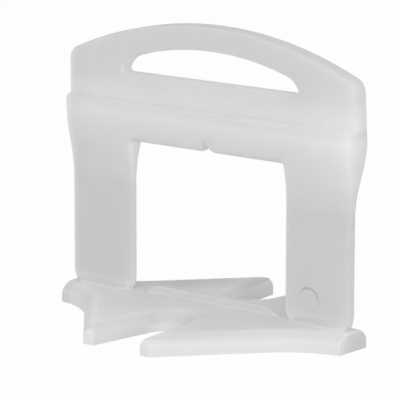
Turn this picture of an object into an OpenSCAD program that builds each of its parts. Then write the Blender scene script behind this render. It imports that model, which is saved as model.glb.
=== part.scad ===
// Tile levelling clip, moulded in one piece.
// A thin portal stands on a base of two feet. Tiles lie on the base on both sides of the portal,
// a wedge pushed through the opening presses them level, and the portal is then kicked off.
// X runs along the portal, -Y is the front, and Z = 0 is the underside of the base.

/* [Portal] */
// Width across both legs
legs_w = 43.9; // [40:0.1:50]
// Clear width between the legs, where the wedge goes
opening_w = 24.4; // [20:0.1:28]
// Thickness of the legs, which sets the joint between tiles
leg_t = 1; // [0.8:0.05:2]
// Radius of the corners at the foot of each leg
leg_foot_r = 2.2; // [1.2:0.1:3]
// Depth that the rounded foot of a leg is sunk into the base
leg_root = 0.55; // [0.3:0.05:1]
// Height of the crossbar's underside
opening_z = 21.6; // [20:0.1:23]

/* [Crossbar] */
// Height where the legs begin to swell into the crossbar
swell_z = 16.6; // [12:0.1:17.5]
// Height where the swelling is full
swell_top_z = 25.2; // [24.5:0.1:25.5]
// How far the crossbar stands proud of the legs in front
bar_front = 0.85; // [0.5:0.05:1.2]
// How far the crossbar stands proud of the legs behind
bar_back = 1.55; // [1.2:0.05:2]
// Height of the step from the crossbar to the handle in front
step_z = 26.7; // [26.2:0.1:27.5]
// Radius of the step's upper edge
step_r = 0.6; // [0.3:0.05:0.8]
// Radius along the crossbar's underside
bar_under_r = 1.4; // [0.6:0.05:1.5]
// Width of the notch under the middle of the crossbar
notch_w = 2.4; // [1.6:0.1:6]
// Depth of the notch
notch_d = 1.5; // [0.4:0.05:2]

/* [Handle] */
// Width of the handle
handle_w = 44.9; // [44.1:0.1:50]
// Height of the handle's highest point
handle_z = 37.2; // [36.5:0.1:40]
// Thickness of the handle, whose front is flush with the legs
handle_t = 2.1; // [1.8:0.05:2.4]
// Radius of the handle's top
handle_arc_r = 54; // [45:0.5:80]
// Radius of the handle's shoulders
shoulder_r = 1.8; // [1:0.1:3]
// Width of the finger slot
slot_w = 28.4; // [22:0.1:32]
// Height of the finger slot's straight lower edge
slot_z = 30.15; // [29.5:0.05:30.5]
// Height of the finger slot at its middle
slot_h = 4; // [3.5:0.05:4.5]
// Radius of the finger slot's upper edge
slot_arc_r = 41; // [36:0.5:60]
// Radius of the finger slot's ends
slot_end_r = 3; // [2:0.1:3.5]
// Radius of the finger slot's lower corners
slot_corner_r = 0.45; // [0.2:0.05:1]

/* [Base] */
// Width of the base
base_w = 44.3; // [42:0.1:50]
// Depth of the base, from the front tips to the rear tips
base_d = 35.4; // [30:0.1:42]
// Thickness of the base
base_t = 2.5; // [2:0.1:3.5]
// Height of the base's upright edge, under the chamfer
edge_h = 1.4; // [0.8:0.1:1.6]
// Width of the base at its narrow ends
end_w = 5.3; // [4.5:0.1:8]
// Angle of the feet's outer flanks to the portal
flank_angle = 49; // [45:0.5:55]
// Radius where a flank runs into the narrow end
flank_r = 12; // [6:0.5:14]
// Width of a foot at its tip
tip_w = 1.5; // [0.8:0.05:2.5]
// Width of the gap between the feet at its mouth
gap_w = 7.4; // [6:0.1:9]
// Radius of the gap's inner end
gap_end_r = 2.55; // [2:0.05:2.9]
// Distance from the middle of the base to the gap's inner end
gap_end_y = 5.9; // [4.5:0.1:8]

/* [Rib] */
// Length of the rib along the base
rib_l = 21.4; // [14:0.1:23]
// Height of the rib above the base
rib_h = 1.05; // [0.5:0.05:1.5]
// Thickness of the rib
rib_t = 1; // [0.8:0.05:2]
// Radius of the rib's ends
rib_end_r = 4; // [2:0.1:6]

/* [Pin mark] */
// Radius of the mark that an ejector pin left on the right leg
mark_r = 1.5; // [1:0.1:2]
// Depth of the mark
mark_depth = 0.12; // [0.05:0.01:0.2]
// Distance of the mark from the leg's middle, towards the opening
mark_in = 1.4; // [0:0.1:2]
// Height of the mark above the base
mark_h = 2.9; // [2:0.1:8]

/* [Hidden] */
$fn = 96;

// What a cutter reaches past the surface that it cuts
over = 1;
// What a cutter reaches sideways, past the whole base
reach = base_w + base_d;
// What a straight cut laps over the round cut that it continues
lap = 0.1;
chamfer = base_t - edge_h;
leg_w = (legs_w - opening_w) / 2;
leg_x = (legs_w + opening_w) / 4;
leg_front_y = -leg_t / 2;
bar_front_y = leg_front_y - bar_front;
bar_back_y = leg_t / 2 + bar_back;
handle_back_y = leg_front_y + handle_t;
root_z = base_t - leg_root;

// Shoulder circle, inside the handle's top arc
shoulder_x = handle_w / 2 - shoulder_r;
arc_z = handle_z - handle_arc_r;
shoulder_z = arc_z + sqrt(pow(handle_arc_r - shoulder_r, 2) - pow(shoulder_x, 2));
shoulder_angle = atan2(shoulder_z - arc_z, shoulder_x);

// End circle of the finger slot, inside the slot's upper arc
slot_arc_z = slot_z + slot_h - slot_arc_r;
slot_end_x = slot_w / 2 - slot_end_r;
slot_end_z = slot_arc_z + sqrt(pow(slot_arc_r - slot_end_r, 2) - pow(slot_end_x, 2));
slot_end_angle = atan2(slot_end_z - slot_arc_z, slot_end_x);

// Circle in the finger slot's lower corner, inside its end circle
slot_corner_z = slot_z + slot_corner_r;
slot_corner_rise = slot_corner_z - slot_end_z;
slot_corner_run = sqrt(pow(slot_end_r - slot_corner_r, 2) - pow(slot_corner_rise, 2));
slot_corner_angle = atan2(slot_corner_rise, slot_corner_run);

// Circle that runs a flank of the base into its narrow end
tip_x = gap_w / 2 + tip_w;
flank_y = end_w / 2 + flank_r;
flank_x = tip_x + (flank_r - (flank_y - base_d / 2) * cos(flank_angle)) / sin(flank_angle);

// Circle at the inner end of the gap, and the slant of the gap's sides
gap_y = gap_end_y + gap_end_r;
gap_l = base_d / 2 - gap_y;
gap_slant = atan2(gap_w / 2, gap_l) - asin(gap_end_r / norm([gap_w / 2, gap_l]));

// Radius of the two arcs of a swelling, and how far it stands proud of the leg at a height
swell_rise = swell_top_z - swell_z;
function swell_r(proud) = (pow(swell_rise, 2) + pow(proud, 2)) / (4 * proud);
function arc_drop(r, along) = r - sqrt(pow(r, 2) - pow(along, 2));
function swell_at(proud, z) =
  z < swell_z + swell_rise / 2
    ? arc_drop(swell_r(proud), z - swell_z)
    : proud - arc_drop(swell_r(proud), swell_top_z - z);

// Lays a drawing of the front view (x, z) in the portal's plane, with a thickness across it
module front_view(thickness) {
  rotate([90, 0, 0])
    linear_extrude(thickness, center = true)
      children();
}

// Lays a drawing of the side view (y, z) across the portal, with a length along X
module side_view(length) {
  rotate([90, 0, 90])
    linear_extrude(length, center = true)
      children();
}

// What rounding by a circle takes off a corner, between two directions from the circle's middle
module corner_waste(r, from_angle, to_angle) {
  far = 4 * r;
  middle = (from_angle + to_angle) / 2;
  difference() {
    polygon([
      [0, 0],
      far * [cos(from_angle), sin(from_angle)],
      far * [cos(middle), sin(middle)],
      far * [cos(to_angle), sin(to_angle)],
    ]);
    circle(r);
  }
}

// One leg in the front view, with rounded corners at its foot
module leg_front() {
  foot_x = leg_w / 2 - leg_foot_r;
  foot_z = root_z + leg_foot_r;
  for (side = [-1, 1])
    translate([side * foot_x, foot_z])
      circle(leg_foot_r);
  translate([-foot_x, root_z])
    square([2 * foot_x, leg_foot_r]);
  translate([-leg_w / 2, foot_z])
    square([leg_w, swell_z - foot_z]);
}

// Crossbar and handle in the front view, before the openings are cut
module head_front() {
  difference() {
    intersection() {
      polygon([
        [-legs_w / 2, swell_z],
        [legs_w / 2, swell_z],
        [handle_w / 2, swell_top_z],
        [handle_w / 2, handle_z],
        [-handle_w / 2, handle_z],
        [-handle_w / 2, swell_top_z],
      ]);
      translate([0, arc_z])
        circle(handle_arc_r, $fn = 360);
    }
    for (side = [0, 1])
      mirror([side, 0])
        translate([shoulder_x, shoulder_z])
          corner_waste(shoulder_r, 0, shoulder_angle);
  }
}

// Finger slot in the front view: straight below, arched above, with round ends
module finger_slot() {
  difference() {
    intersection() {
      translate([-slot_w / 2, slot_z])
        square([slot_w, slot_h + over]);
      translate([0, slot_arc_z])
        circle(slot_arc_r, $fn = 360);
    }
    for (side = [0, 1])
      mirror([side, 0]) {
        translate([slot_end_x, slot_end_z])
          corner_waste(slot_end_r, 0, slot_end_angle);
        translate([slot_end_x + slot_corner_run, slot_corner_z])
          corner_waste(slot_corner_r, -90, slot_corner_angle);
      }
  }
}

// Wedge opening and the notch above it in the front view
module wedge_opening() {
  translate([-opening_w / 2, -over])
    square([opening_w, opening_z + over]);
  polygon([
    [-notch_w / 2, opening_z],
    [0, opening_z + notch_d],
    [notch_w / 2, opening_z],
  ]);
}

// Half of the crossbar's swelling in the side view: two arcs, from flush with the leg to fully proud
module swelling(proud) {
  r = swell_r(proud);
  difference() {
    square([proud, swell_rise / 2]);
    translate([r, 0])
      circle(r, $fn = 360);
  }
  intersection() {
    translate([0, swell_rise / 2])
      square([2 * proud, swell_rise / 2]);
    translate([proud - r, swell_rise])
      circle(r, $fn = 360);
  }
}

// Section of the portal in the side view
module portal_section() {
  translate([leg_front_y, root_z])
    square([leg_t, handle_z - root_z]);
  translate([leg_front_y, swell_z])
    mirror([1, 0])
      swelling(bar_front);
  translate([-leg_front_y, swell_z])
    swelling(bar_back);
  // Front of the crossbar, up to the rounded step
  difference() {
    translate([bar_front_y, swell_top_z])
      square([bar_front, step_z - swell_top_z]);
    translate([bar_front_y + step_r, step_z - step_r])
      corner_waste(step_r, 90, 180);
  }
  // Back of the crossbar, leaning in to the handle
  polygon([
    [0, swell_top_z],
    [bar_back_y, swell_top_z],
    [handle_back_y, shoulder_z],
    [handle_back_y, handle_z],
    [0, handle_z],
  ]);
}

// What the rounded underside of the crossbar leaves free in the side view
module under_bar() {
  round_z = opening_z + bar_under_r;
  front_y = leg_front_y - swell_at(bar_front, round_z) + bar_under_r;
  back_y = -leg_front_y + swell_at(bar_back, round_z) - bar_under_r;
  difference() {
    translate([-base_d / 2, opening_z - over])
      square([base_d, bar_under_r + over]);
    for (y = [front_y, back_y])
      translate([y, round_z])
        circle(bar_under_r);
    translate([min(front_y, back_y), opening_z])
      square([abs(back_y - front_y), bar_under_r]);
  }
}

// Portal: legs, crossbar and handle
module portal() {
  difference() {
    intersection() {
      front_view(base_d)
        difference() {
          union() {
            for (side = [-1, 1])
              translate([side * leg_x, 0])
                leg_front();
            head_front();
          }
          wedge_opening();
          finger_slot();
        }
      side_view(reach)
        portal_section();
    }
    side_view(opening_w)
      under_bar();
    translate([leg_x - mark_in, leg_front_y, base_t + mark_h])
      rotate([90, 0, 0])
        cylinder(r = mark_r, h = 2 * mark_depth, center = true);
  }
}

// Section of what is cut away outside an edge of the base: upright, then leaning over the chamfer
module edge_waste(from_x, edge_x) {
  polygon([
    [from_x, -over],
    [edge_x, -over],
    [edge_x, edge_h],
    [edge_x + chamfer + over, base_t + over],
    [from_x, base_t + over],
  ]);
}

// Cut along a straight edge that runs from the origin along +Y, at a distance in X
module straight_cut(edge_x, from_x = -reach) {
  rotate([90, 0, 0])
    translate([0, 0, -reach])
      linear_extrude(reach + lap)
        edge_waste(from_x, edge_x);
}

// Cut along a round edge about the origin, between two directions
module round_cut(r, from_angle, to_angle) {
  rotate(from_angle)
    rotate_extrude(angle = to_angle - from_angle)
      edge_waste(0, r);
}

// Cut outside one flank of the base, and outside the narrow end that it runs into
module flank_cut() {
  translate([flank_x, flank_y, 0]) {
    round_cut(flank_r, 270 - flank_angle, 270);
    rotate(-90)
      straight_cut(flank_r);
    rotate(270 - flank_angle)
      mirror([0, 1, 0])
        straight_cut(flank_r);
  }
}

// Puts a copy of what is given at the front, and its mirror image at the rear
module front_and_rear() {
  for (front = [0, 1])
    mirror([0, front, 0])
      children();
}

// Inner end of the gap between the feet
module gap_end_cut() {
  translate([0, gap_y, 0])
    round_cut(gap_end_r, 180 + gap_slant, 360 - gap_slant);
}

// One side of the gap between the feet, from its middle outwards
module gap_side_cut() {
  translate([0, gap_y, 0])
    rotate(-gap_slant)
      straight_cut(gap_end_r, -gap_end_r);
}

// Base: two feet, joined in the middle, with a chamfer along their long upper edges
module base() {
  difference() {
    translate([-base_w / 2, -base_d / 2, 0])
      cube([base_w, base_d, base_t]);
    front_and_rear()
      flank_cut();
    front_and_rear()
      mirror([1, 0, 0])
        flank_cut();
    front_and_rear()
      gap_end_cut();
    front_and_rear()
      gap_side_cut();
    front_and_rear()
      mirror([1, 0, 0])
        gap_side_cut();
  }
}

// Low rib along the base, between the legs
module rib() {
  top_z = base_t + rib_h;
  end_x = rib_l / 2 - sqrt(pow(rib_end_r, 2) - pow(rib_end_r - rib_h, 2));
  front_view(rib_t)
    intersection() {
      translate([-rib_l / 2 - over, root_z])
        square([rib_l + 2 * over, top_z - root_z]);
      union() {
        translate([-end_x, root_z])
          square([2 * end_x, top_z - root_z]);
        for (side = [-1, 1])
          translate([side * end_x, top_z - rib_end_r])
            circle(rib_end_r);
      }
    }
}

// The whole clip, one moulding
module levelling_clip() {
  color("whitesmoke") {
    base();
    portal();
    rib();
  }
}

levelling_clip();
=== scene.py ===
import math

import bmesh
import bpy
import numpy as np
from mathutils import Matrix, Vector
from mathutils.geometry import delaunay_2d_cdt


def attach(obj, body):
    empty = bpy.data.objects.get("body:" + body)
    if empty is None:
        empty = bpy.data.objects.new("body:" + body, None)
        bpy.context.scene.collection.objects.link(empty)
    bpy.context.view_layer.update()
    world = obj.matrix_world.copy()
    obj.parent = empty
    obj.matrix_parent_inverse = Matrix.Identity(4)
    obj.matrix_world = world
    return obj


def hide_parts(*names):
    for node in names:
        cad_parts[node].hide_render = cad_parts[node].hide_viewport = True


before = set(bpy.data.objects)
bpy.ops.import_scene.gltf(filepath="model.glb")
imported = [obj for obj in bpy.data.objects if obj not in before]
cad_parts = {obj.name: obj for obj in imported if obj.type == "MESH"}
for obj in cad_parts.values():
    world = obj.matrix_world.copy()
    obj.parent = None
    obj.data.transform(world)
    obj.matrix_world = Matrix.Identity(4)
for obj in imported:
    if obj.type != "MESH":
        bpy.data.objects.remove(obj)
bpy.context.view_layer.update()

# Milky plastic
# The whole clip is one shot of natural polypropylene. It is milky and lets light in, so thick places look
# lighter than the thin legs, and the moulded skin is satin with faint flow clouds. Its colour also carries
# painted light and shade.

MM = 0.001


class Wire:
    """A socket of a node tree that can be used in Python expressions."""

    def __init__(self, tree, socket=None):
        self.tree = tree
        self.socket = socket

    def node(self, kind, settings, sockets, output=0):
        """Adds any node: its settings first, then the values or wires of its sockets."""
        made = self.tree.nodes.new(kind)
        for name, value in settings.items():
            if name == "stops":
                while len(made.color_ramp.elements) < len(value):
                    made.color_ramp.elements.new(0.5)
                for element, (place, grey) in zip(made.color_ramp.elements, value):
                    element.position = place
                    element.color = (grey, grey, grey, 1)
            else:
                setattr(made, name, value)
        for name, value in sockets.items():
            if isinstance(value, Wire):
                self.tree.links.new(value.socket, made.inputs[name])
            else:
                made.inputs[name].default_value = value
        return Wire(self.tree, made.outputs[output] if made.outputs else None)

    def maths(self, operation, *values):
        return self.node("ShaderNodeMath", {"operation": operation}, dict(enumerate(values)))

    def __add__(self, other):
        return self.maths("ADD", self, other)

    __radd__ = __add__

    def __sub__(self, other):
        return self.maths("SUBTRACT", self, other)

    def __rsub__(self, other):
        return self.maths("SUBTRACT", other, self)

    def __mul__(self, other):
        return self.maths("MULTIPLY", self, other)

    __rmul__ = __mul__

    def __truediv__(self, other):
        return self.maths("DIVIDE", self, other)

    def __rtruediv__(self, other):
        return self.maths("DIVIDE", other, self)

    def absolute(self):
        return self.maths("ABSOLUTE", self)

    def root(self):
        return self.maths("SQRT", self.maths("MAXIMUM", self, 0))

    def at_most(self, other):
        return self.maths("MINIMUM", self, other)

    def between(self, low, high):
        return self.maths("MINIMUM", self.maths("MAXIMUM", self, low), high)

    def ease(self, start, end):
        """Smooth step from 0 at start to 1 at end."""
        sockets = {"Value": self, "From Min": start, "From Max": end}
        return self.node("ShaderNodeMapRange", {"interpolation_type": "SMOOTHSTEP"}, sockets)


milky_plastic = bpy.data.materials.new("milky_polypropylene")
milky_plastic.use_nodes = True
milky_plastic.node_tree.nodes.clear()
skin = Wire(milky_plastic.node_tree)

place = skin.node("ShaderNodeTexCoord", {}, {}, output="Object")
across = skin.node("ShaderNodeSeparateXYZ", {}, {"Vector": place}, output="X") / MM
depth = skin.node("ShaderNodeSeparateXYZ", {}, {"Vector": place}, output="Y") / MM
height = skin.node("ShaderNodeSeparateXYZ", {}, {"Vector": place}, output="Z") / MM

# Tone by height in millimetres, matched to the photo: base, thin legs, thick crossbar, handle. Part of this
# ramp is painted light and shade, at the base's edges and top, at the legs' feet and at the step above the
# crossbar.
handle_z = 37.2
tone_with_painted_light_at = {
    0: 0.71, 2.1: 0.76, 2.5: 0.94, 2.8: 0.57, 4: 0.44, 6: 0.40, 16: 0.385,
    21: 0.555, 25.2: 0.63, 26.4: 0.56, 26.9: 0.65, 30: 0.54, 37.2: 0.475,
}
tone_with_painted_light = skin.node(
    "ShaderNodeValToRGB",
    {"stops": [(z / handle_z, grey) for z, grey in tone_with_painted_light_at.items()]},
    {"Fac": height / handle_z},
)
clouds = skin.node(
    "ShaderNodeTexNoise",
    {},
    {"Vector": place, "Scale": 160.0, "Detail": 3.0, "Roughness": 0.55},
)
tint = skin.node("ShaderNodeTexNoise", {}, {"Vector": place, "Scale": 95.0}, output="Color")
# The flow clouds go over the ramp, painted light and shade included
clouded_tone_with_painted_light = skin.node(
    "ShaderNodeMix",
    {"data_type": "RGBA", "blend_type": "MULTIPLY"},
    {0: 0.06, 6: tone_with_painted_light, 7: tint},
    output=2,
)

# Painted shade: a dark line under the lip of the ejector pin's mark, and a painted darkening of the soft rims
# that hides their glare. Painted light on the walls of the slot and the opening, as if light came through them
mark_r = 1.5
mark_x = 15.675
mark_z = 5.4
from_pin_x, from_pin_z = across - mark_x, height - mark_z
from_pin = (from_pin_x * from_pin_x + from_pin_z * from_pin_z).root()
on_lip = from_pin.ease(mark_r - 0.28, mark_r - 0.04) * from_pin.ease(mark_r + 0.24, mark_r + 0.02)
upper_side = (from_pin_z + 0.4 * from_pin_x).ease(0.0, 1.3)
pin_lip_painted_shade = on_lip * upper_side * depth.ease(-0.25, -0.4)
rim_line = skin.node("ShaderNodeAttribute", {"attribute_name": "rim_share"}, {}, output="Fac")
window_wall = skin.node("ShaderNodeAttribute", {"attribute_name": "window_wall"}, {}, output="Fac")
shade = (1 - 0.5 * pin_lip_painted_shade) * (1 - 0.45 * rim_line * (1 - rim_line)) * (1 + 0.16 * window_wall)

# Painted light and shade on the base: painted shade at the narrow ends, most of all the left one, a painted
# shadow behind the left leg, painted shade and a low painted glint in the front gap, painted light at the left
# front tip and the legs' feet
off_middle = across.absolute()
painted_shade_ends = 0.18 * off_middle.ease(20.4, 22.0) * depth.ease(-2.8, 0.6)
painted_shadow_rear = 0.24 * across.ease(-5.0, -10.0) * depth.ease(2.5, 6.0)
in_gap = off_middle.ease(4.5, 3.0) * depth.ease(-11.0, -7.0) * depth.ease(-4.0, -5.5)
painted_shade_and_glint_gap = in_gap * (0.08 - 0.18 * height.ease(1.4, 0.7))
painted_shade_heel = 0.16 * across.ease(-19.4, -21.2) * depth.ease(-5.5, -2.0)
painted_light_tip = 0.1 * across.ease(-3.5, -6.5) * depth.ease(-3.0, -12.0)
painted_light_feet = 0.17 * off_middle.ease(11.2, 12.4) * height.ease(2.45, 2.7) * height.ease(4.4, 3.2)
painted_light_on_base = height.ease(3.4, 2.6) * (painted_light_tip - painted_shade_ends - painted_shadow_rear - painted_shade_and_glint_gap - painted_shade_heel)
shade = shade * (1 + painted_light_feet + painted_light_on_base)

# Painted shade on the left side of the crossbar and handle, and painted light at the right
painted_shade_left = 0.1 * across.ease(-17.5, -22.4) * height.ease(14.0, 18.0)
painted_light_right = 0.05 * across.ease(13.0, 19.0) * height.ease(16.0, 20.0) * height.ease(33.0, 28.0)
shade = shade * (1 + painted_light_right - painted_shade_left)
shade_grey = skin.node("ShaderNodeCombineColor", {}, {0: shade, 1: shade, 2: shade})
# The plastic's colour, with its painted light and shade multiplied in
plastic_tone_with_painted_light = skin.node(
    "ShaderNodeMix",
    {"data_type": "RGBA", "blend_type": "MULTIPLY"},
    {0: 1.0, 6: clouded_tone_with_painted_light, 7: shade_grey},
    output=2,
)

# Satin skin. Light goes deep into the portal, and less so into the base
grain = skin.node("ShaderNodeTexNoise", {}, {"Vector": place, "Scale": 2600.0, "Detail": 2.0})
satin = skin.node("ShaderNodeBump", {}, {"Strength": 0.05, "Distance": 0.02 * MM, "Height": grain})
finish = {"Base Color": plastic_tone_with_painted_light, "Roughness": 0.46 + 0.12 * clouds, "Normal": satin, "IOR": 1.49}
milky = {"Subsurface Weight": 1.0, "Subsurface Radius": (1.0, 1.0, 1.0), "Subsurface Scale": 12.0 * MM}
deep_plastic = skin.node("ShaderNodeBsdfPrincipled", {}, finish | milky)
dull_plastic = skin.node("ShaderNodeBsdfPrincipled", {}, finish)
in_base = height.ease(3.8, 0.4)
plastic_surface = skin.node("ShaderNodeMixShader", {}, {0: in_base, 1: deep_plastic, 2: dull_plastic})
skin.node("ShaderNodeOutputMaterial", {}, {"Surface": plastic_surface})

# Portal
# The thin plate that stands in the joint between two tiles: two legs, a thick crossbar that the wedge
# presses against, and a handle with a finger slot. It is moulded flat in the tool, with soft edges.

legs_w = 43.9
opening_w = 24.4
leg_t = 1.0
leg_foot_r = 2.2
base_t = 2.5
root_z = base_t - 0.55
opening_z = 21.6
swell_z = 16.6
swell_top_z = 25.2
bar_front = 0.85
bar_back = 1.55
step_z = 26.7
step_r = 0.6
bar_under_r = 1.4
notch_w = 2.4
notch_d = 1.5
handle_w = 44.9
handle_t = 2.1
handle_arc_r = 54.0
shoulder_r = 1.8
slot_w = 28.4
slot_z = 30.15
slot_h = 4.0
slot_arc_r = 41.0
slot_end_r = 3.0
slot_corner_r = 0.45
rib_l = 21.4
rib_h = 1.05
rib_end_r = 4.0
edge_r = 0.16
foot_fillet = 1.3
foot_sink = 0.03
foot_fade = 2.2
foot_inner = 0.4
foot_outer = 0.8
rib_fillet = 0.25
under_blend = 0.5
mark_d = 0.12
mark_soft = 0.15
near = 0.01


def arc(x, z, radius, start, end, steps=None):
    """Points in millimetres along an arc, from one angle in degrees to another."""
    turn = math.radians(end - start)
    steps = steps or max(2, math.ceil(abs(turn) / math.radians(8)), math.ceil(abs(turn) * radius / 1.2))
    angles = [math.radians(start) + turn * i / steps for i in range(steps + 1)]
    return [(x + radius * math.cos(a), z + radius * math.sin(a)) for a in angles]


def mirrored(points):
    """The same points on the other side, in the opposite order."""
    return [(-x, z) for x, z in reversed(points)]


foot_z = root_z + leg_foot_r
right_leg = arc(opening_w / 2 + leg_foot_r, foot_z, leg_foot_r, 180, 270)
right_leg += arc(legs_w / 2 - leg_foot_r, foot_z, leg_foot_r, 270, 360)
crossbar_under = [
    (-opening_w / 2, opening_z),
    (-notch_w / 2, opening_z),
    (0.0, opening_z + notch_d),
    (notch_w / 2, opening_z),
    (opening_w / 2, opening_z),
]
shoulder_x = handle_w / 2 - shoulder_r
arc_z = handle_z - handle_arc_r
shoulder_z = arc_z + math.sqrt((handle_arc_r - shoulder_r) ** 2 - shoulder_x ** 2)
shoulder_angle = math.degrees(math.atan2(shoulder_z - arc_z, shoulder_x))
right_side = [(legs_w / 2, swell_z), (handle_w / 2, swell_top_z)]
right_side += arc(shoulder_x, shoulder_z, shoulder_r, 0, shoulder_angle)
handle_top = arc(0, arc_z, handle_arc_r, shoulder_angle, 180 - shoulder_angle)[1:-1]
portal_outline = mirrored(right_leg) + crossbar_under + right_leg
portal_outline += right_side + handle_top + mirrored(right_side)

slot_arc_z = slot_z + slot_h - slot_arc_r
slot_end_x = slot_w / 2 - slot_end_r
slot_end_z = slot_arc_z + math.sqrt((slot_arc_r - slot_end_r) ** 2 - slot_end_x ** 2)
slot_end_angle = math.degrees(math.atan2(slot_end_z - slot_arc_z, slot_end_x))
corner_rise = slot_z + slot_corner_r - slot_end_z
corner_run = math.sqrt((slot_end_r - slot_corner_r) ** 2 - corner_rise ** 2)
corner_angle = math.degrees(math.atan2(corner_rise, corner_run))
slot_half = arc(slot_end_x + corner_run, slot_z + slot_corner_r, slot_corner_r, -90, corner_angle)
slot_half += arc(slot_end_x, slot_end_z, slot_end_r, corner_angle, slot_end_angle)[1:]
slot_top = arc(0, slot_arc_z, slot_arc_r, slot_end_angle, 180 - slot_end_angle)[1:-1]
slot_outline = list(reversed(slot_half + slot_top + mirrored(slot_half)))

rib_z = base_t + rib_h
rib_end_x = rib_l / 2 - math.sqrt(rib_end_r ** 2 - (rib_end_r - rib_h) ** 2)
rib_root_angle = math.degrees(math.asin((root_z - rib_z + rib_end_r) / rib_end_r))
rib_half = arc(rib_end_x, rib_z - rib_end_r, rib_end_r, rib_root_angle, 90)
rib_outline = rib_half + mirrored(rib_half)

outlines = [portal_outline, slot_outline, rib_outline]


def plain_edge(a, b):
    """Whether an edge belongs to the crossbar's underside, which the thickness rule rounds by itself."""
    low, high = sorted((a[1], b[1]))
    furthest = max(abs(a[0]), abs(b[0]))
    in_height = low >= opening_z - near and high <= opening_z + notch_d + near
    return in_height and furthest <= opening_w / 2 + near


def inset(loop, depth):
    """The loop moved into the plastic by a depth, except along plain edges."""
    moved = []
    for i, here in enumerate(loop):
        before, after = loop[i - 1], loop[(i + 1) % len(loop)]
        rows, depths = [], []
        for a, b in ((before, here), (here, after)):
            length = math.dist(a, b)
            rows.append(((a[1] - b[1]) / length, (b[0] - a[0]) / length))
            depths.append(0 if plain_edge(a, b) else depth)
        if abs(rows[0][0] * rows[1][1] - rows[0][1] * rows[1][0]) < 0.02:
            shift = np.mean(depths) * np.mean(rows, axis=0)
        else:
            shift = np.linalg.solve(rows, depths)
        moved.append((here[0] + shift[0], here[1] + shift[1]))
    return moved


def drawing_mesh():
    """Triangles of the front view, cut along the rows where the thickness changes and along the soft rims."""
    points, edges = [], []

    def draw(line, closed):
        first = len(points)
        points.extend(line)
        edges.extend((first + i, first + i + 1) for i in range(len(line) - 1))
        if closed:
            edges.append((first + len(line) - 1, first))

    for loop in outlines:
        for turn in (0, 25, 50, 70, 90):
            draw(inset(loop, edge_r * (1 - math.cos(math.radians(turn)))), True)
    round_steps = [1 - math.cos(math.radians(a)) for a in range(10, 91, 10)]
    rise_steps = [math.sin(math.radians(a)) for a in range(0, 91, 10)]
    rows = [base_t - foot_sink + foot_fillet * s for s in [0] + round_steps]
    rows += list(np.linspace(swell_z, swell_top_z, 44))
    rows += [opening_z + bar_under_r * s for s in round_steps]
    rows += [step_z - step_r + step_r * s for s in rise_steps]
    rows += [step_z + (bar_front - step_r) * s for s in round_steps]
    rows += [shoulder_z]
    kept = []
    for z in sorted(rows):
        if not kept or z - kept[-1] > 0.008:
            kept.append(z)
            draw([(-30, z), (30, z)], False)
    blend_xs = np.linspace(opening_w / 2 - under_blend - 0.1, opening_w / 2 + 0.1, 8)
    for x in [*blend_xs, opening_w / 2 + edge_r]:
        for side in (-1, 1):
            draw([(side * x, opening_z - 0.2), (side * x, opening_z + bar_under_r + 0.1)], False)
    for step in np.linspace(0, foot_fade, 8):
        for x in (opening_w / 2 + foot_inner + step, legs_w / 2 - foot_outer - step):
            for side in (-1, 1):
                draw([(side * x, base_t - 0.1), (side * x, base_t + foot_fillet + 0.1)], False)
    for spread in (-mark_soft, -mark_soft / 3, mark_soft / 3, mark_soft):
        draw(arc(mark_x, mark_z, mark_r + spread, 0, 360)[:-1], True)
    made = delaunay_2d_cdt([Vector(p) for p in points], edges, [], 0, 1e-5)
    flat = np.array([tuple(v) for v in made[0]])
    triangles = np.array(made[2])
    middles = flat[triangles].mean(axis=1)
    inside = np.zeros(len(middles), bool)
    for loop in outlines:
        for a, b in zip(loop, loop[1:] + loop[:1]):
            crosses = (a[1] > middles[:, 1]) != (b[1] > middles[:, 1])
            slope = (b[0] - a[0]) / (b[1] - a[1]) if b[1] != a[1] else 0
            inside ^= crosses & (middles[:, 0] < a[0] + slope * (middles[:, 1] - a[1]))
    triangles = triangles[inside]
    used, triangles = np.unique(triangles, return_inverse=True)
    return flat[used], triangles.reshape(-1, 3)


def share_of_reach(flat, edges, reach):
    """How far each point is from the nearest of some edges, from 0 on them to 1 at a reach or further."""
    share = np.ones(len(flat))
    for a, b in edges:
        a, b = np.array(a), np.array(b)
        along = np.clip((flat - a) @ (b - a) / ((b - a) @ (b - a)), 0, 1)
        away = np.linalg.norm(flat - a - along[:, None] * (b - a), axis=1)
        share = np.minimum(share, away / reach)
    return share


def mark_points(mesh, name, values):
    """Writes one number for each point of a mesh, under a name that node trees read."""
    marks = mesh.attributes.get(name) or mesh.attributes.new(name, "FLOAT", "POINT")
    marks.data.foreach_set("value", values)


outline_edges = [edge for loop in outlines for edge in zip(loop, loop[1:] + loop[:1])]
soft_edges = [edge for edge in outline_edges if not plain_edge(*edge)]
slot_edges = list(zip(slot_outline, slot_outline[1:] + slot_outline[:1]))
leg_edges = [edge for edge in soft_edges if all(abs(abs(x) - opening_w / 2) < near for x, z in edge)]
window_edges = slot_edges + leg_edges

flat, triangles = drawing_mesh()
sheet = len(flat)
uses = {}
for a, b, c in triangles:
    for edge in ((a, b), (b, c), (c, a)):
        uses[edge] = uses.get(edge, 0) + 1
rim = [(a, b) for a, b in uses if (b, a) not in uses]
front_faces = [tuple(int(i) for i in t) for t in triangles]
back_faces = [tuple(int(i) + sheet for i in reversed(t)) for t in triangles]
rim_faces = [(int(a), int(a) + sheet, int(b) + sheet, int(b)) for a, b in rim]
corners = [(x * MM, y * leg_t / 2 * MM, z * MM) for y in (-1, 1) for x, z in flat]
portal_mesh = bpy.data.meshes.new("portal_blank")
portal_mesh.from_pydata(corners, [], front_faces + back_faces + rim_faces)
mark_points(portal_mesh, "side", np.repeat((-1.0, 1.0), sheet))
mark_points(portal_mesh, "rim_share", np.tile(share_of_reach(flat, soft_edges, edge_r), 2))
portal = bpy.data.objects.new("portal_blank", portal_mesh)
bpy.context.scene.collection.objects.link(portal)

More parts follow.
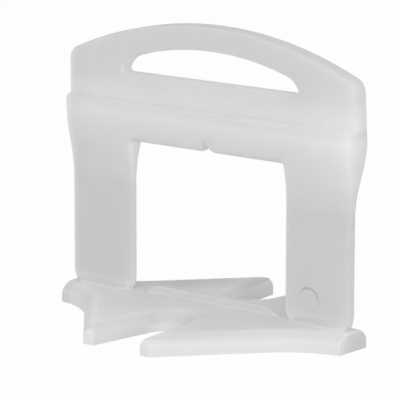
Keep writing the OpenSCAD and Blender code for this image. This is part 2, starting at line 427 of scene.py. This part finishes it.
# The thickness rule: each point of the flat blank goes to the front or back face of the real section
section = bpy.data.node_groups.new("portal_section", "GeometryNodeTree")
section.interface.new_socket("Blank", in_out="INPUT", socket_type="NodeSocketGeometry")
section.interface.new_socket("Portal", in_out="OUTPUT", socket_type="NodeSocketGeometry")
section_sizes = {
    "Leg thickness": leg_t,
    "Swelling start": swell_z,
    "Swelling full": swell_top_z,
    "Bar proud in front": bar_front,
    "Bar proud behind": bar_back,
    "Step height": step_z,
    "Step radius": step_r,
    "Underside height": opening_z,
    "Underside radius": bar_under_r,
    "Opening width": opening_w,
    "Handle thickness": handle_t,
    "Handle start": shoulder_z,
    "Edge radius": edge_r,
    "Base top": base_t,
    "Legs width": legs_w,
    "Foot fillet": foot_fillet,
    "Foot fade": foot_fade,
    "Rib fillet": rib_fillet,
    "Mark radius": mark_r,
    "Mark depth": mark_d,
}
size_ids = {}
for name in section_sizes:
    size_socket = section.interface.new_socket(name, in_out="INPUT", socket_type="NodeSocketFloat")
    size_ids[name] = size_socket.identifier
plastic_socket = section.interface.new_socket("Plastic", in_out="INPUT", socket_type="NodeSocketMaterial")
rule = Wire(section)
given_node = section.nodes.new("NodeGroupInput")
given = {socket.name: Wire(section, socket) for socket in given_node.outputs if socket.name}
spot = rule.node("GeometryNodeInputPosition", {}, {})
spot_x = rule.node("ShaderNodeSeparateXYZ", {}, {0: spot}, output="X") / MM
spot_z = rule.node("ShaderNodeSeparateXYZ", {}, {0: spot}, output="Z") / MM


def bulge(z, proud):
    """How far the crossbar stands proud of the leg at a height: two arcs, one hollow and one round."""
    rise = given["Swelling full"] - given["Swelling start"]
    radius = (rise * rise + proud * proud) / (4 * proud)
    low = (z - given["Swelling start"]).between(0, rise / 2)
    high = (given["Swelling full"] - z).between(0, rise / 2)
    return (radius * radius - high * high).root() - (radius * radius - low * low).root() + proud / 2


def rounded(into, radius):
    """How far a rounded edge falls back, from its radius at the edge to nothing where the rounding ends."""
    left = radius - into.between(0, radius)
    return radius - (radius * radius - left * left).root()


step_fillet = given["Bar proud in front"] - given["Step radius"]
step_top = (spot_z - (given["Step height"] - given["Step radius"])).between(0, given["Step radius"])
step_foot = step_fillet - (spot_z - given["Step height"]).between(0, step_fillet)
step_fall = given["Step radius"] - (given["Step radius"] * given["Step radius"] - step_top * step_top).root()
step_fall = step_fall + (step_fillet * step_fillet - step_foot * step_foot).root()
lean = ((spot_z - given["Swelling full"]) / (given["Handle start"] - given["Swelling full"])).between(0, 1)
lean_in = (given["Bar proud behind"] - given["Handle thickness"] + given["Leg thickness"]) * lean
under_top = given["Underside height"] + given["Underside radius"]
under_fall = rounded(spot_z - given["Underside height"], given["Underside radius"])
from_middle = spot_x.absolute()
over_opening = from_middle.ease(given["Opening width"] / 2, given["Opening width"] / 2 - under_blend)
inner_x, outer_x = given["Opening width"] / 2 + foot_inner, given["Legs width"] / 2 - foot_outer
in_leg = from_middle.ease(inner_x, inner_x + given["Foot fade"])
in_leg = in_leg * from_middle.ease(outer_x, outer_x - given["Foot fade"])
flare_r = given["Rib fillet"] + (given["Foot fillet"] - given["Rib fillet"]) * in_leg
foot_flare = rounded(spot_z - given["Base top"] + foot_sink, flare_r)
proud_faces = []
for proud, later in ((given["Bar proud in front"], step_fall), (given["Bar proud behind"], lean_in)):
    plain = bulge(spot_z, proud) - later
    round_under = plain.at_most(bulge(under_top, proud) - under_fall)
    proud_faces.append(plain + (round_under - plain) * over_opening + foot_flare)
rim_share = rule.node("GeometryNodeInputNamedAttribute", {"data_type": "FLOAT"}, {"Name": "rim_share"})
rim_fall = rounded(rim_share * given["Edge radius"], given["Edge radius"])
off_x, off_z = spot_x - mark_x, spot_z - mark_z
mark_away = (off_x * off_x + off_z * off_z).root()
mark_inside = mark_away.ease(given["Mark radius"] + mark_soft, given["Mark radius"] - mark_soft)
mark_dip = mark_inside * given["Mark depth"]
front_y = mark_dip + rim_fall - given["Leg thickness"] / 2 - proud_faces[0]
back_y = given["Leg thickness"] / 2 + proud_faces[1] - rim_fall
side = rule.node("GeometryNodeInputNamedAttribute", {"data_type": "FLOAT"}, {"Name": "side"})
behind = side * 0.5 + 0.5
face_y = front_y + (back_y - front_y) * behind
real_spot = rule.node("ShaderNodeCombineXYZ", {}, {"X": spot_x * MM, "Y": face_y * MM, "Z": spot_z * MM})
shaped = rule.node("GeometryNodeSetPosition", {}, {"Geometry": given["Blank"], "Position": real_spot})
whole = rule.node("GeometryNodeRealizeInstances", {}, {"Geometry": shaped})
finished = rule.node("GeometryNodeSetMaterial", {}, {"Geometry": whole, "Material": given["Plastic"]})
rule.node("NodeGroupOutput", {}, {"Portal": finished})

thicken = portal.modifiers.new("portal_section", "NODES")
thicken.node_group = section
for name, value in section_sizes.items():
    thicken[size_ids[name]] = value
thicken[plastic_socket.identifier] = milky_plastic


def settled(piece):
    """Turns what the modifiers make of a piece into its plain mesh, and removes them."""
    evaluated = piece.evaluated_get(bpy.context.evaluated_depsgraph_get())
    plain = bpy.data.meshes.new_from_object(evaluated)
    piece.modifiers.clear()
    piece.data = plain


settled(portal)

# Base
# The two flat feet that stay in the adhesive under the tiles, joined under the portal. Their long upper
# edges are chamfered so that adhesive flows over them, and a round-ended gap parts each pair of tips.

base_w = 44.3
base_d = 35.4
edge_h = 1.4
end_w = 5.3
flank_angle = 49.0
flank_r = 12.0
tip_w = 1.5
gap_w = 7.4
gap_end_r = 2.55
gap_end_y = 5.9
chamfer_ease = 0.9
upright_ease = 0.5
corner_r = 0.2
corner_share = 0.45

tip_x = gap_w / 2 + tip_w
flank_y = end_w / 2 + flank_r
flank_sin = math.sin(math.radians(flank_angle))
flank_cos = math.cos(math.radians(flank_angle))
flank_x = tip_x + (flank_r - (flank_y - base_d / 2) * flank_cos) / flank_sin
gap_y = gap_end_y + gap_end_r
gap_l = base_d / 2 - gap_y
gap_slant = math.atan2(gap_w / 2, gap_l) - math.asin(gap_end_r / math.hypot(gap_w / 2, gap_l))


def quarter(depth):
    """A quarter of the base's outline from above, moved in by a depth: points from the narrow end to the gap,
    with a mark on its corners."""
    end_angle = math.degrees(math.asin((flank_x - base_w / 2) / (flank_r + depth)))
    flank = arc(flank_x, flank_y, flank_r + depth, 270 - end_angle, 270 - flank_angle, 14)
    flank_tip = tip_x - depth / flank_sin
    gap_tip = gap_w / 2 + depth / math.cos(gap_slant)
    back = max(0, (gap_tip - flank_tip) / (flank_cos / flank_sin + math.tan(gap_slant)))
    line = [(x, y, i == 0) for i, (x, y) in enumerate(flank)]
    line.append((flank_tip + back * flank_cos / flank_sin, base_d / 2 - back, True))
    line.append((gap_tip - back * math.tan(gap_slant), base_d / 2 - back, True))
    gap_end = arc(0, gap_y, gap_end_r + depth, -math.degrees(gap_slant), -90, 12)
    return line + [(x, y, False) for x, y in gap_end]


def whole_ring(depth):
    """The base's whole outline, moved in by a depth, counter-clockwise from above, with its corners eased."""
    part = quarter(depth)
    half = part + [(-x, y, corner) for x, y, corner in reversed(part[:-1])]
    ring = half + [(-x, -y, corner) for x, y, corner in half]
    eased = []
    for i, (x, y, corner) in enumerate(ring):
        here = Vector((x, y))
        if not corner:
            eased.append(here)
            continue
        back, on = Vector(ring[i - 1][:2]) - here, Vector(ring[(i + 1) % len(ring)][:2]) - here
        cut = min(corner_r, corner_share * back.length, corner_share * on.length)
        start, end = here + cut * back.normalized(), here + cut * on.normalized()
        for t in (0, 1 / 3, 2 / 3, 1):
            eased.append((1 - t) ** 2 * start + 2 * t * (1 - t) * here + t ** 2 * end)
    return eased


def soft_turn(corner, start, end):
    """Points of a soft turn from one place to another in the base's section, past its sharp corner."""
    corner, start, end = np.array(corner), np.array(start), np.array(end)
    shares = np.linspace(0, 1, 7)
    return [tuple((1 - t) ** 2 * start + 2 * t * (1 - t) * corner + t ** 2 * end) for t in shares]


chamfer = base_t - edge_h
diagonal = math.sqrt(0.5)
wall_end = (0, edge_h - upright_ease)
chamfer_start = (diagonal * upright_ease, edge_h + diagonal * upright_ease)
chamfer_end = (chamfer - diagonal * chamfer_ease, base_t - diagonal * chamfer_ease)
top_start = (chamfer + chamfer_ease, base_t)
levels = [(0, 0)] + soft_turn((0, edge_h), wall_end, chamfer_start)
levels += soft_turn((chamfer, base_t), chamfer_end, top_start)
shell = bmesh.new()
rings = [[shell.verts.new((x * MM, y * MM, z * MM)) for x, y in whole_ring(depth)] for depth, z in levels]
count = len(rings[0])
for low, high in zip(rings, rings[1:]):
    for i in range(count):
        j = (i + 1) % count
        shell.faces.new((low[i], low[j], high[j], high[i]))
shell.faces.new(list(reversed(rings[0])))
shell.faces.new(rings[-1])
bmesh.ops.remove_doubles(shell, verts=shell.verts, dist=0.002 * MM)
bmesh.ops.recalc_face_normals(shell, faces=shell.faces)
base_mesh = bpy.data.meshes.new("base_blank")
shell.to_mesh(base_mesh)
shell.free()
base_mesh.materials.append(milky_plastic)
clip = bpy.data.objects.new("moulded_clip", base_mesh)
bpy.context.scene.collection.objects.link(clip)

# Moulding
# Base, rib and portal come out of the tool as one solid, so the portal is joined to the base here, with a
# small fillet round the feet of the legs.

join = clip.modifiers.new("one_shot", "BOOLEAN")
join.operation = "UNION"
join.solver = "EXACT"
join.object = portal
settled(clip)
bpy.data.objects.remove(portal)

# The union mixes up the marks on the points, so they are written again
points = np.array([tuple(point.co / MM) for point in clip.data.vertices])
from_front = points[:, [0, 2]]
above_base = points[:, 2] > base_t + near
rim_shares = np.where(above_base, share_of_reach(from_front, soft_edges, edge_r), 1.0)
# Where painted light goes on the walls of the slot and the opening
painted_light_wall_shares = np.where(above_base, 1 - share_of_reach(from_front, window_edges, edge_r), 0.0)
mark_points(clip.data, "rim_share", rim_shares)
mark_points(clip.data, "window_wall", painted_light_wall_shares)
clip.data.attributes.remove(clip.data.attributes["side"])

clip.data.polygons.foreach_set("use_smooth", [True] * len(clip.data.polygons))
clip.data.set_sharp_from_angle(angle=math.radians(50))
even = clip.modifiers.new("even_shading", "WEIGHTED_NORMAL")
even.keep_sharp = True
even.weight = 60
settled(clip)
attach(clip, "root")
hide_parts("levelling_clip")

# Table
# A plain pale table top under the clip. The camera sees it white, and it keeps the clip's soft shadow.

table_half = 2.0
table_z = -0.02 * MM
table_corners = [(x * table_half, y * table_half, table_z) for x, y in ((-1, -1), (1, -1), (1, 1), (-1, 1))]
table_mesh = bpy.data.meshes.new("table")
table_mesh.from_pydata(table_corners, [], [(0, 1, 2, 3)])
table = bpy.data.objects.new("table", table_mesh)
bpy.context.scene.collection.objects.link(table)
table_top = bpy.data.materials.new("white_table")
table_top.use_nodes = True
table_top.node_tree.nodes.clear()
top = Wire(table_top.node_tree)
path = {}
for ray in ("Is Camera Ray", "Is Glossy Ray", "Is Transmission Ray"):
    path[ray] = top.node("ShaderNodeLightPath", {}, {}, output=ray)
seen = (path["Is Camera Ray"] + path["Is Glossy Ray"] + path["Is Transmission Ray"]).between(0, 1)
matt = top.node("ShaderNodeBsdfDiffuse", {}, {"Color": (0.9, 0.9, 0.9, 1)})
glow = top.node("ShaderNodeEmission", {}, {"Color": (1, 1, 1, 1), "Strength": 1.0})
mixed = top.node("ShaderNodeMixShader", {}, {0: 0.96 * seen, 1: matt, 2: glow})
top.node("ShaderNodeOutputMaterial", {}, {"Surface": mixed})
table_mesh.materials.append(table_top)

# Studio
# Soft light from large white screens and a pale room, and a camera with a long lens at the photo's place.

room = bpy.data.worlds.new("pale_room")
bpy.context.scene.world = room
room.use_nodes = True
room.node_tree.nodes["Background"].inputs["Color"].default_value = (1, 1, 1, 1)
room.node_tree.nodes["Background"].inputs["Strength"].default_value = 0.55


def screen(name, place, aim, size, watts):
    """A large soft light, turned towards a point."""
    lamp = bpy.data.lights.new(name, "AREA")
    lamp.shape = "DISK"
    lamp.size = size
    lamp.energy = watts
    stand = bpy.data.objects.new(name, lamp)
    stand.location = place
    stand.rotation_euler = (Vector(aim) - Vector(place)).to_track_quat("-Z", "Y").to_euler()
    bpy.context.scene.collection.objects.link(stand)


middle = (0, 0, 0.015)
screen("screen_corner", (0.459, -0.459, 0.262), middle, 0.6, 2.2)
screen("screen_left", (-0.484, -0.484, 0.146), middle, 0.6, 0.9)
screen("screen_right", (0.621, 0.289, 0.146), middle, 0.6, 0.5)
screen("screen_above", (0.091, -0.338, 0.606), middle, 0.3, 0.4)

lens = bpy.data.cameras.new("long_lens")
lens.sensor_width = 36.0
lens.lens = 271.46
lens.clip_start = 0.01
camera = bpy.data.objects.new("long_lens", lens)
bpy.context.scene.collection.objects.link(camera)
azimuth, elevation, roll = math.radians(39.344), math.radians(11.37), math.radians(0.123)
aim = Vector((-0.923, -0.756, 15.637)) * MM
distance = 371.16 * MM
level = math.cos(elevation)
to_eye = Vector((math.sin(azimuth) * level, -math.cos(azimuth) * level, math.sin(elevation)))
flat_right = Vector((math.cos(azimuth), math.sin(azimuth), 0))
flat_up = to_eye.cross(flat_right)
lens_right = flat_right * math.cos(roll) + flat_up * math.sin(roll)
lens_up = flat_up * math.cos(roll) - flat_right * math.sin(roll)
turned = Matrix((lens_right, lens_up, to_eye)).transposed().to_4x4()
camera.matrix_world = Matrix.Translation(aim + to_eye * distance) @ turned
bpy.context.scene.camera = camera
bpy.context.scene.view_settings.view_transform = "Standard"
